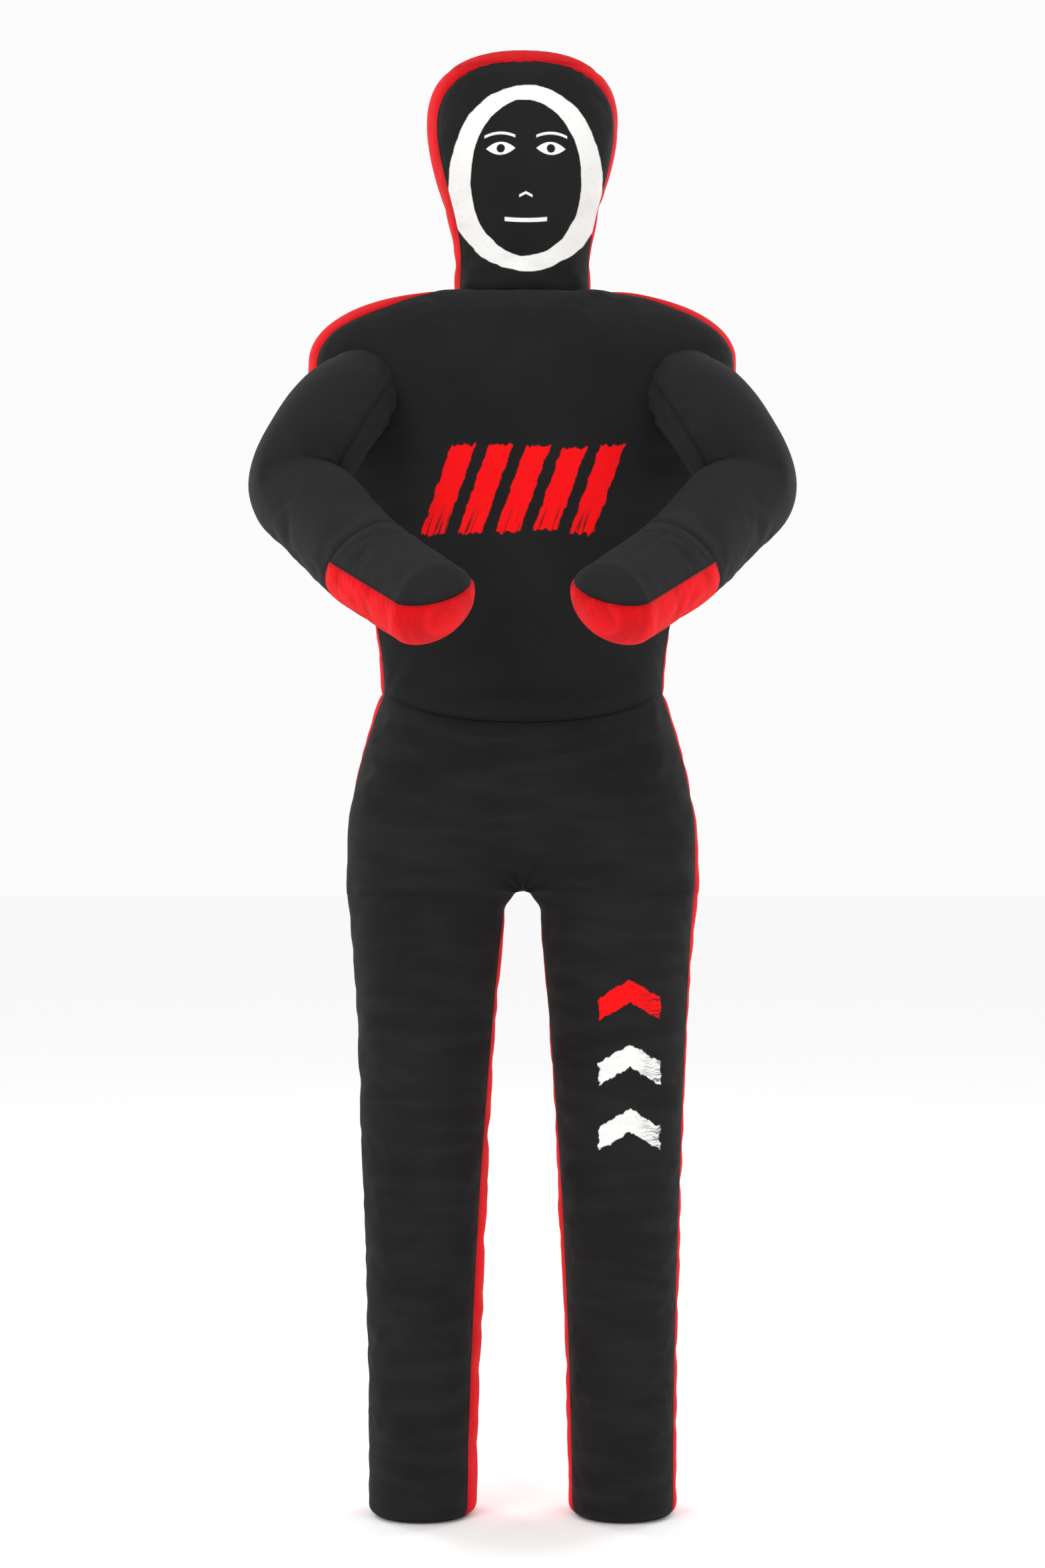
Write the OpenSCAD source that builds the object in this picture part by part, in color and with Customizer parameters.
// Stuffed canvas grappling dummy, adult size. It stands on two flat soles with both
// arms held forward, and a long zip down its back takes the filling.
// Right and left are the dummy's own: its face looks along -Y, its right arm is at -X.

/* [Body] */
// Height from the soles to the crown
height = 1780; // [1680:10:1860]
// Distance from the middle of the outline back to the legs' centre line
stand_back = 190; // [150:5:220]
// Width across the shoulders
shoulder_w = 520; // [490:2:540]
// Width of the waist
waist_w = 344; // [330:2:360]
// Front to back thickness of the waist
waist_d = 184; // [176:2:192]
// Width across the hips
hip_w = 427; // [423:1:440]
// Front to back thickness of the hips
hip_d = 210; // [200:2:220]
// Front to back thickness of the chest
chest_d = 212; // [200:2:220]

/* [Head] */
// Width of the head
head_w = 232; // [210:2:250]
// Front to back thickness of the head
head_d = 170; // [150:2:190]
// Width of the neck
neck_w = 165; // [150:1:175]
// Front to back thickness of the neck
neck_d = 130; // [116:2:140]

/* [Arms] */
// Diameter of the ball that each arm turns on at the chest
shoulder_ball = 108; // [90:1:110]
// Diameter of the elbow
elbow_d = 114; // [100:1:116]
// Diameter of the wrist
wrist_d = 100; // [84:1:104]
// Furthest that an elbow bends from straight, in degrees
elbow_bend = 68; // [60:1:70]

/* [Legs] */
// Width of a leg where it meets the hips
thigh_w = 196; // [180:1:198]
// Front to back thickness of a leg where it meets the hips
thigh_d = 168; // [156:2:172]
// Width of a leg at the sole
ankle_w = 131; // [116:1:140]
// Front to back thickness of a leg at the sole
ankle_d = 134; // [116:2:140]
// Distance between the middles of the two soles
stance_w = 244; // [236:2:260]
// Radius of the edge where a leg turns under to its sole
sole_edge_r = 14; // [8:1:20]

/* [Zip] */
// Height of the zip's lower end above the soles
zip_low = 1080; // [1070:2:1090]
// Height of the zip's upper end above the soles
zip_high = 1414; // [1380:2:1414]
// Width of one zip tape
tape_w = 14; // [12:1:16]

/* [Canvas] */
// Thickness of the canvas panels
canvas_t = 2; // [1:0.5:3]
// Gap that keeps the stuffing off the canvas
stuffing_gap = 0.5; // [0.4:0.1:1]

/* [Hidden] */

// Colours
black = "#26262a";
red = "#d0101c";
stuffing_grey = "#9a958a";
steel = "#b9bcc0";

// Directions
up = [0, 0, 1];
across = [1, 0, 0];

// Heights of the joints and seams, as shares of the whole height
knee_z = 0.24 * height;
hip_z = 0.432 * height;
crotch_z = 0.425 * height;
hip_widest_z = 0.449 * height;
waist_z = 0.56 * height;
shoulder_z = 0.786 * height;
neck_seam_z = 0.8326 * height;
neck_pivot_z = 0.85 * height;
head_widest_z = 0.9494 * height;

// How square the sections and the crown are: 2 is an ellipse, more is squarer
leg_square = 2.1;
body_square = 2.4;
head_square = 2.2;
crown_square = 2.5;
shoulder_square = 2.15;
arm_square = 2;

// Clearance round a rounded limb end, and how far past it each cut reaches
swing_gap = 1.5;
cut_reach = 400;

// Furthest bends, in degrees
hip_back_bend = 15;
knee_front_bend = 3;
waist_front_bend = 50;
waist_back_bend = 15;
neck_front_bend = 40;
neck_back_bend = 30;
elbow_back_bend = 2;

// Points round half of a section
half_steps = 12;
half_step = 180 / half_steps;
back_angles = [for (i = [0 : half_steps]) i * half_step];
front_angles = [for (i = [0 : half_steps]) 180 + i * half_step];
full_angles = [for (i = [0 : 2 * half_steps - 1]) i * half_step];
centre_gap_angle = 2;
back_left_angles = [for (i = [0 : half_steps / 2]) i * (90 - centre_gap_angle) / half_steps * 2];
back_right_angles = [for (a = back_left_angles) a + 90 + centre_gap_angle];

// The back of the torso is straight, so that the zip runs straight
back_y = 106;
neck_y = 12;
hips_y = 8;

// Joint places in the dummy's own frame, with the leg centre line at y = 0
hip_x = 115;
shoulder_at = [-205, -133, 0.7515 * height];
elbow_at = [-256, -185, 0.6916 * height];
wrist_at = [-174, -330, 0.6365 * height];
fingertip_at = [-96, -445, 0.6056 * height];
upper_arm_dir = (elbow_at - shoulder_at) / norm(elbow_at - shoulder_at);
forearm_dir = (wrist_at - elbow_at) / norm(wrist_at - elbow_at);
hand_dir = (fingertip_at - wrist_at) / norm(fingertip_at - wrist_at);
elbow_axis = cross(upper_arm_dir, forearm_dir) / norm(cross(upper_arm_dir, forearm_dir));

// Zip parts
tape_t = 1.2;
coil_w = 2.6;
coil_gap = 1;
coil_t = 2;
tape_gap = 0.3;
stop_w = 7;
stop_h = 4;
slider_w = 13;
slider_h = 17;
slider_plate_t = 1.8;
slider_gap = 0.4;
slider_bridge_w = 0.4;
slider_bridge_h = 5;
slider_z = zip_high - stop_h - slider_h / 2 - 1;
ear_x = 3.2;
ear_t = 1.2;
ear_h = 5;
pin_d = 1.8;
pin_y = 7.4;
pull_w = 9;
pull_h = 34;
pull_t = 1.4;
pull_eye_d = 4.4;
pull_bore_d = 2.4;
pull_gap = 0.4;

function mix(a, b, t) = a + (b - a) * t;
function smooth(t) = t * t * (3 - 2 * t);

// A sine or cosine made squarer
function squared(s, e) = sign(s) * pow(abs(s), 2 / e);

// A section is [centre, direction of the limb, half width, half depth]. This is its
// outline at the given angles, where angle 0 faces the side vector.
function outline(s, side, e, inset, angles) =
    let (u = side - (side * s[1]) * s[1], v = cross(s[1], u / norm(u)))
    [for (t = angles) s[0]
        + (s[2] - inset) * squared(cos(t), e) * u / norm(u)
        + (s[3] - inset) * squared(sin(t), e) * v];

function reverse(list) = [for (i = [len(list) - 1 : -1 : 0]) list[i]];

// Half width and half depth of a leg at height z
function leg_swell(z) = pow(z / hip_z, 1.9);
function leg_half_w(z) = mix(ankle_w, thigh_w, leg_swell(z)) / 2;
function leg_half_d(z) = mix(ankle_d, thigh_d, leg_swell(z)) / 2;
function leg_x(z) = mix(stance_w / 2, hip_x, z / hip_z);
function leg_section(z, tuck) =
    [[-leg_x(z), 0, z], up, leg_half_w(z) - tuck, leg_half_d(z) - tuck];

// Rounded upper end of a leg piece, a half cylinder about the joint's own axis
function leg_end(z) = [for (t = [20 : 20 : 80])
    [[-leg_x(z), 0, z + leg_half_d(z) * sin(t)], up,
        leg_half_w(z) * (1 - 0.12 * (1 - cos(t))), leg_half_d(z) * cos(t)]];

shin_sections = concat(
    [for (t = [0 : 30 : 60])
        leg_section(sole_edge_r * (1 - cos(t)) + canvas_t, sole_edge_r * (1 - sin(t)))],
    [for (f = [0.06 : 0.188 : 1]) leg_section(f * knee_z, 0)],
    leg_end(knee_z)
);

thigh_sections = concat(
    [for (f = [0 : 0.2 : 1]) leg_section(mix(knee_z, hip_z, f), 0)],
    leg_end(hip_z)
);

// Pelvis, from the crotch up to just under the waist seam
function pelvis_ease(z) = z < hip_widest_z ? 1 : sin(90 * (waist_z - z) / (waist_z - hip_widest_z));
function pelvis_section(z) =
    [[0, mix(back_y - waist_d / 2, hips_y, pelvis_ease(z)), z], up,
        mix(waist_w, hip_w, pelvis_ease(z)) / 2, mix(waist_d, hip_d, pelvis_ease(z)) / 2];
pelvis_sections = [for (f = [0 : 0.125 : 1]) pelvis_section(mix(crotch_z, waist_z, f))];

// Torso: a rounded lower end in the waist, the flanks, then the round of the shoulders
waist_y = back_y - waist_d / 2;
function flank_section(f) =
    let (half_d = mix(waist_d, chest_d, smooth(f)) / 2)
    [[0, back_y - half_d, mix(waist_z, shoulder_z, f)], up,
        mix(waist_w, shoulder_w, smooth(f)) / 2, half_d];
function shoulder_section(t) =
    let (spread = squared(cos(t), shoulder_square))
    [[0, mix(neck_y, back_y - chest_d / 2, spread),
        mix(shoulder_z, neck_seam_z, squared(sin(t), shoulder_square))], up,
        mix(neck_w, shoulder_w, spread) / 2, mix(neck_d, chest_d, spread) / 2];
torso_sections = concat(
    [for (t = [80 : -20 : 20])
        [[0, waist_y, waist_z - waist_d / 2 * sin(t)], up,
            waist_w / 2 * (1 - 0.12 * (1 - cos(t))), waist_d / 2 * cos(t)]],
    [for (f = [0 : 0.2 : 1]) flank_section(f)],
    [for (t = [18 : 18 : 90]) shoulder_section(t)]
);

// Head: a rounded lower end in the neck seam, the neck, then the crown
function face_section(f) =
    [[0, neck_y, mix(neck_pivot_z, head_widest_z, f)], up,
        mix(neck_w, head_w, smooth(f)) / 2, mix(neck_d, head_d, smooth(f)) / 2];
head_sections = concat(
    [for (t = [80 : -20 : 20])
        [[0, neck_y, neck_pivot_z - neck_d / 2 * sin(t)], up,
            neck_w / 2 * (1 - 0.12 * (1 - cos(t))), neck_d / 2 * cos(t)]],
    [for (f = [0 : 0.2 : 1]) face_section(f)],
    [for (t = [22 : 20 : 82])
        [[0, neck_y, mix(head_widest_z, height, squared(sin(t), crown_square))], up,
            head_w / 2 * squared(cos(t), crown_square),
            head_d / 2 * squared(cos(t), crown_square)]]
);

// Right arm, from the chest to the fingertips
function ball_end(centre, dir, r, angles) =
    [for (t = angles) [centre + dir * r * sin(t), dir, r * cos(t), r * cos(t)]];
function limb(a, b, dir, r_a, r_b, shares) =
    [for (f = shares) [mix(a, b, f), dir, mix(r_a, r_b, f), mix(r_a, r_b, f)]];
wrist_seam_dir = (forearm_dir + hand_dir) / norm(forearm_dir + hand_dir);
fingertip_d = wrist_d * 1.02;
upper_arm_sections = concat(
    ball_end(shoulder_at, upper_arm_dir, shoulder_ball / 2, [-80 : 20 : -20]),
    limb(shoulder_at, elbow_at, upper_arm_dir, shoulder_ball / 2, elbow_d / 2, [0 : 0.25 : 1])
);
forearm_sections = concat(
    ball_end(elbow_at, forearm_dir, elbow_d / 2, [-80 : 20 : -20]),
    limb(elbow_at, wrist_at, forearm_dir, elbow_d / 2, wrist_d / 2, [0 : 0.23 : 0.92]),
    [[wrist_at, wrist_seam_dir, wrist_d / 2, wrist_d / 2]]
);
hand_sections = concat(
    [[wrist_at + wrist_seam_dir * stuffing_gap, wrist_seam_dir, wrist_d / 2, wrist_d / 2]],
    limb(wrist_at, fingertip_at, hand_dir, wrist_d / 2, fingertip_d / 2, [0.2 : 0.2 : 1]),
    ball_end(fingertip_at, hand_dir, fingertip_d / 2, [20 : 20 : 80])
);

// A closed solid through a list of rings that all have the same number of points. The
// rings of a folded sheet run out along one side and back along the other, so its ends
// are closed strip by strip, and its inner walls split the same way as its outer ones.
module loft(rings, folded) {
    n = len(rings[0]);
    end = (len(rings) - 1) * n;
    walls = [for (k = [0 : n : end - n], i = [0 : n - 1])
        let (j = (i + 1) % n, next = k + n)
        each folded && i >= n / 2
            ? [[k + i, next + i, k + j], [next + i, next + j, k + j]]
            : [[k + i, next + i, next + j], [k + i, next + j, k + j]]];
    cap = folded
        ? [for (i = [0 : n / 2 - 2]) each [[i, i + 1, n - 2 - i], [i, n - 2 - i, n - 1 - i]]]
        : [[for (i = [0 : n - 1]) i]];
    end_cap = [for (face = reverse(cap)) [for (i = reverse(face)) end + i]];
    polyhedron(points = [for (r = rings) each r], faces = concat(cap, walls, end_cap));
}

// Stuffing that fills the whole limb inside the canvas
module stuffing(sections, side, e)
    loft([for (s = sections)
        outline(s, side, e, canvas_t + stuffing_gap, full_angles)], false);

// Canvas over part of the way round a limb
module canvas(sections, side, e, angles)
    loft([for (s = sections) concat(
        outline(s, side, e, 0, angles),
        reverse(outline(s, side, e, canvas_t, angles))
    )], true);

// Room for a rounded limb end of radius r that hangs below: a hollow about the X axis
// and flat cuts that let the limb swing forward (-Y) and back (+Y) by the given angles
module swing_room(r, w, forward, back)
    rotate([90, 0, 90])
        linear_extrude(height = w, center = true) {
            circle(r = r + swing_gap, $fn = 36);
            translate([-cut_reach, -cut_reach])
                square([cut_reach, cut_reach + r * sin(forward) + swing_gap]);
            translate([0, -cut_reach])
                square([cut_reach, cut_reach + r * sin(back) + swing_gap]);
        }

// Puts a piece that is modelled about the leg centre line into the part's frame
module placed()
    translate([0, stand_back, 0])
        children();

module placed_left()
    placed()
        mirror(across)
            children();

// Cut at the knee, with the shin below it swinging back
module knee_room()
    translate([-leg_x(knee_z), 0, knee_z])
        swing_room(leg_half_d(knee_z), cut_reach, knee_front_bend, 90);

// Cuts at both hips, with the thighs swinging forward and the crotch left between them
module hip_rooms() {
    crotch_half_w = hip_x - thigh_w / 2 - swing_gap;
    for (side = [-1, 1])
        translate([side * (crotch_half_w + cut_reach / 2), 0, hip_z])
            swing_room(thigh_d / 2, cut_reach, 90, hip_back_bend);
}

// Cut in the top of the pelvis, with the torso bending forward and back in it
module waist_room()
    translate([0, waist_y, waist_z])
        mirror(up)
            swing_room(waist_d / 2, 2 * cut_reach, waist_front_bend, waist_back_bend);

// Cut in the top of the torso, with the neck nodding forward and back in it
module neck_room()
    translate([0, neck_y, neck_pivot_z])
        mirror(up)
            swing_room(neck_d / 2, neck_w + 2 * swing_gap, neck_front_bend, neck_back_bend);

// Cut at the right elbow, with the forearm bending inward
module elbow_room() {
    z_dir = -upper_arm_dir;
    y_dir = cross(z_dir, elbow_axis);
    multmatrix([
        [elbow_axis[0], y_dir[0], z_dir[0], elbow_at[0]],
        [elbow_axis[1], y_dir[1], z_dir[1], elbow_at[1]],
        [elbow_axis[2], y_dir[2], z_dir[2], elbow_at[2]],
        [0, 0, 0, 1]
    ])
        swing_room(elbow_d / 2, cut_reach, elbow_back_bend, elbow_bend);
}

// Slot through the back canvas for the zip
module zip_slot()
    translate([0, back_y, (zip_low + zip_high) / 2])
        cube([2 * tape_w + 2 * tape_gap, 60, zip_high - zip_low], center = true);

// Groove in the stuffing for the inner half of the zip slider
module slider_groove() {
    depth = tape_t + slider_gap + slider_plate_t + slider_gap;
    translate([0, back_y - depth / 2 + 1, (zip_low + zip_high) / 2])
        cube([slider_w + 2 * slider_gap, depth + 2, zip_high - zip_low], center = true);
}

module head_canvas(angles)
    color(angles == front_angles ? black : red)
        placed()
            canvas(head_sections, across, head_square, angles);

module head_front_panel()
    head_canvas(front_angles);

module head_back_panel()
    head_canvas(back_angles);

module head_stuffing()
    color(stuffing_grey)
        placed()
            stuffing(head_sections, across, head_square);

module torso_front_panel()
    color(black)
        placed()
            difference() {
                canvas(torso_sections, across, body_square, front_angles);
                neck_room();
            }

module torso_back_canvas(angles)
    color(red)
        placed()
            difference() {
                canvas(torso_sections, across, body_square, angles);
                neck_room();
                zip_slot();
            }

module torso_back_panel_right()
    torso_back_canvas(back_right_angles);

module torso_back_panel_left()
    torso_back_canvas(back_left_angles);

module torso_stuffing()
    color(stuffing_grey)
        placed()
            difference() {
                stuffing(torso_sections, across, body_square);
                neck_room();
                slider_groove();
            }

// One zip tape, side +1 for the dummy's left and -1 for its right
module zip_tape(side)
    color(black)
        placed()
            translate([side * (tape_w + coil_gap / 2) / 2, back_y - tape_t / 2, (zip_low + zip_high) / 2])
                cube([tape_w - coil_gap / 2, tape_t, zip_high - zip_low - 2 * tape_gap], center = true);

module zip_tape_right()
    zip_tape(-1);

module zip_tape_left()
    zip_tape(1);

// The coil sewn along one tape, drawn as its outer block
module zip_coil(side)
    color("#1c1c1e")
        placed()
            translate([side * (coil_gap + coil_w) / 2, back_y + coil_t / 2, (zip_low + zip_high) / 2])
                cube([coil_w, coil_t, zip_high - zip_low - 2 * stop_h - 2], center = true);

module zip_coil_right()
    zip_coil(-1);

module zip_coil_left()
    zip_coil(1);

// Metal clamp across the end of both coils, centred at height z
module zip_stop(z)
    color(steel)
        placed()
            translate([0, back_y + coil_t / 2 + 0.2, z])
                cube([stop_w, coil_t + 0.4, stop_h], center = true);

module zip_top_stop()
    zip_stop(zip_high - stop_h / 2 - 0.5);

module zip_bottom_stop()
    zip_stop(zip_low + stop_h / 2 + 0.5);

// Slider body: a plate outside the coils and one behind the tapes, joined by a thin
// bridge between the coils, with two ears that hold the pull's pin
module zip_slider() {
    outer_y = back_y + coil_t + slider_gap;
    inner_y = back_y - tape_t - slider_gap - slider_plate_t;
    color(steel)
        placed()
            translate([0, 0, slider_z]) {
                translate([-slider_w / 2, outer_y, -slider_h / 2])
                    cube([slider_w, slider_plate_t, slider_h]);
                translate([-slider_w / 2, inner_y, -slider_h / 2])
                    cube([slider_w, slider_plate_t, slider_h]);
                translate([-slider_bridge_w / 2, inner_y, slider_h / 2 - slider_bridge_h])
                    cube([slider_bridge_w, outer_y - inner_y + slider_plate_t, slider_bridge_h]);
                for (side = [-1, 1])
                    translate([side * (ear_x + ear_t / 2) - ear_t / 2, outer_y, -ear_h / 2])
                        cube([ear_t, pin_y - coil_t - slider_gap + pin_d, ear_h]);
                translate([0, back_y + pin_y, 0])
                    rotate([0, 90, 0])
                        cylinder(d = pin_d, h = 2 * ear_x + ear_t, center = true, $fn = 32);
            }
}

// Pull tab that hangs from the slider's pin
module zip_pull()
    color(steel)
        placed()
            translate([0, back_y + pin_y, slider_z])
                difference() {
                    union() {
                        rotate([0, 90, 0])
                            cylinder(d = pull_eye_d, h = 2 * (ear_x - pull_gap), center = true, $fn = 32);
                        translate([-ear_x + pull_gap, -pull_t / 2, -pull_h / 3])
                            cube([2 * (ear_x - pull_gap), pull_t, pull_h / 3]);
                        translate([-pull_w / 2, -pull_t / 2, -pull_h])
                            cube([pull_w, pull_t, pull_h * 0.72]);
                    }
                    rotate([0, 90, 0])
                        cylinder(d = pull_bore_d, h = 4 * ear_x, center = true, $fn = 32);
                    translate([0, 0, -pull_h * 0.82])
                        rotate([90, 0, 0])
                            cylinder(d = pull_w / 2, h = 2 * pull_t, center = true, $fn = 32);
                }

module pelvis_canvas(angles)
    color(angles == front_angles ? black : red)
        placed()
            difference() {
                canvas(pelvis_sections, across, body_square, angles);
                waist_room();
                hip_rooms();
            }

module pelvis_front_panel()
    pelvis_canvas(front_angles);

module pelvis_back_panel()
    pelvis_canvas(back_angles);

module pelvis_stuffing()
    color(stuffing_grey)
        placed()
            difference() {
                stuffing(pelvis_sections, across, body_square);
                waist_room();
                hip_rooms();
            }

// Arm pieces are drawn for the right arm. The top of a sleeve is the side that the
// elbow's axis points to, and the underside is opposite.
module sleeve(sections, angles, shade)
    color(shade)
        canvas(sections, cross(elbow_axis, forearm_dir), arm_square, angles);

module upper_sleeve(angles, shade)
    difference() {
        sleeve(upper_arm_sections, angles, shade);
        elbow_room();
    }

module upper_arm_stuffing()
    color(stuffing_grey)
        difference() {
            stuffing(upper_arm_sections, cross(elbow_axis, forearm_dir), arm_square);
            elbow_room();
        }

module arm_stuffing(sections)
    color(stuffing_grey)
        stuffing(sections, cross(elbow_axis, forearm_dir), arm_square);

module upper_sleeve_top_right() placed() upper_sleeve(back_angles, black);
module upper_sleeve_under_right() placed() upper_sleeve(front_angles, black);
module upper_arm_stuffing_right() placed() upper_arm_stuffing();
module lower_sleeve_top_right() placed() sleeve(forearm_sections, back_angles, black);
module lower_sleeve_under_right() placed() sleeve(forearm_sections, front_angles, black);
module forearm_stuffing_right() placed() arm_stuffing(forearm_sections);
module hand_top_right() placed() sleeve(hand_sections, back_angles, black);
module hand_palm_right() placed() sleeve(hand_sections, front_angles, red);
module hand_stuffing_right() placed() arm_stuffing(hand_sections);
module upper_sleeve_top_left() placed_left() upper_sleeve(back_angles, black);
module upper_sleeve_under_left() placed_left() upper_sleeve(front_angles, black);
module upper_arm_stuffing_left() placed_left() upper_arm_stuffing();
module lower_sleeve_top_left() placed_left() sleeve(forearm_sections, back_angles, black);
module lower_sleeve_under_left() placed_left() sleeve(forearm_sections, front_angles, black);
module forearm_stuffing_left() placed_left() arm_stuffing(forearm_sections);
module hand_top_left() placed_left() sleeve(hand_sections, back_angles, black);
module hand_palm_left() placed_left() sleeve(hand_sections, front_angles, red);
module hand_stuffing_left() placed_left() arm_stuffing(hand_sections);

// Leg pieces are drawn for the right leg
module thigh_canvas(angles, shade)
    color(shade)
        difference() {
            canvas(thigh_sections, across, leg_square, angles);
            knee_room();
        }

module thigh_stuffing()
    color(stuffing_grey)
        difference() {
            stuffing(thigh_sections, across, leg_square);
            knee_room();
        }

module shin_canvas(angles, shade)
    color(shade)
        canvas(shin_sections, across, leg_square, angles);

module shin_stuffing()
    color(stuffing_grey)
        stuffing(shin_sections, across, leg_square);

// Flat disc of canvas that closes the foot
module sole()
    color(black)
        translate([-leg_x(0), 0, 0])
            loft([for (z = [0, canvas_t])
                outline([[0, 0, z], up, ankle_w / 2 - sole_edge_r, ankle_d / 2 - sole_edge_r],
                    across, leg_square, 0, full_angles)], false);

module thigh_front_panel_right() placed() thigh_canvas(front_angles, black);
module thigh_back_panel_right() placed() thigh_canvas(back_angles, red);
module thigh_stuffing_right() placed() thigh_stuffing();
module shin_front_panel_right() placed() shin_canvas(front_angles, black);
module shin_back_panel_right() placed() shin_canvas(back_angles, red);
module shin_stuffing_right() placed() shin_stuffing();
module sole_right() placed() sole();
module thigh_front_panel_left() placed_left() thigh_canvas(front_angles, black);
module thigh_back_panel_left() placed_left() thigh_canvas(back_angles, red);
module thigh_stuffing_left() placed_left() thigh_stuffing();
module shin_front_panel_left() placed_left() shin_canvas(front_angles, black);
module shin_back_panel_left() placed_left() shin_canvas(back_angles, red);
module shin_stuffing_left() placed_left() shin_stuffing();
module sole_left() placed_left() sole();

head_front_panel();
head_back_panel();
head_stuffing();
torso_front_panel();
torso_back_panel_right();
torso_back_panel_left();
torso_stuffing();
zip_tape_right();
zip_tape_left();
zip_coil_right();
zip_coil_left();
zip_top_stop();
zip_bottom_stop();
zip_slider();
zip_pull();
pelvis_front_panel();
pelvis_back_panel();
pelvis_stuffing();
upper_sleeve_top_right();
upper_sleeve_under_right();
upper_arm_stuffing_right();
lower_sleeve_top_right();
lower_sleeve_under_right();
forearm_stuffing_right();
hand_top_right();
hand_palm_right();
hand_stuffing_right();
upper_sleeve_top_left();
upper_sleeve_under_left();
upper_arm_stuffing_left();
lower_sleeve_top_left();
lower_sleeve_under_left();
forearm_stuffing_left();
hand_top_left();
hand_palm_left();
hand_stuffing_left();
thigh_front_panel_right();
thigh_back_panel_right();
thigh_stuffing_right();
shin_front_panel_right();
shin_back_panel_right();
shin_stuffing_right();
sole_right();
thigh_front_panel_left();
thigh_back_panel_left();
thigh_stuffing_left();
shin_front_panel_left();
shin_back_panel_left();
shin_stuffing_left();
sole_left();
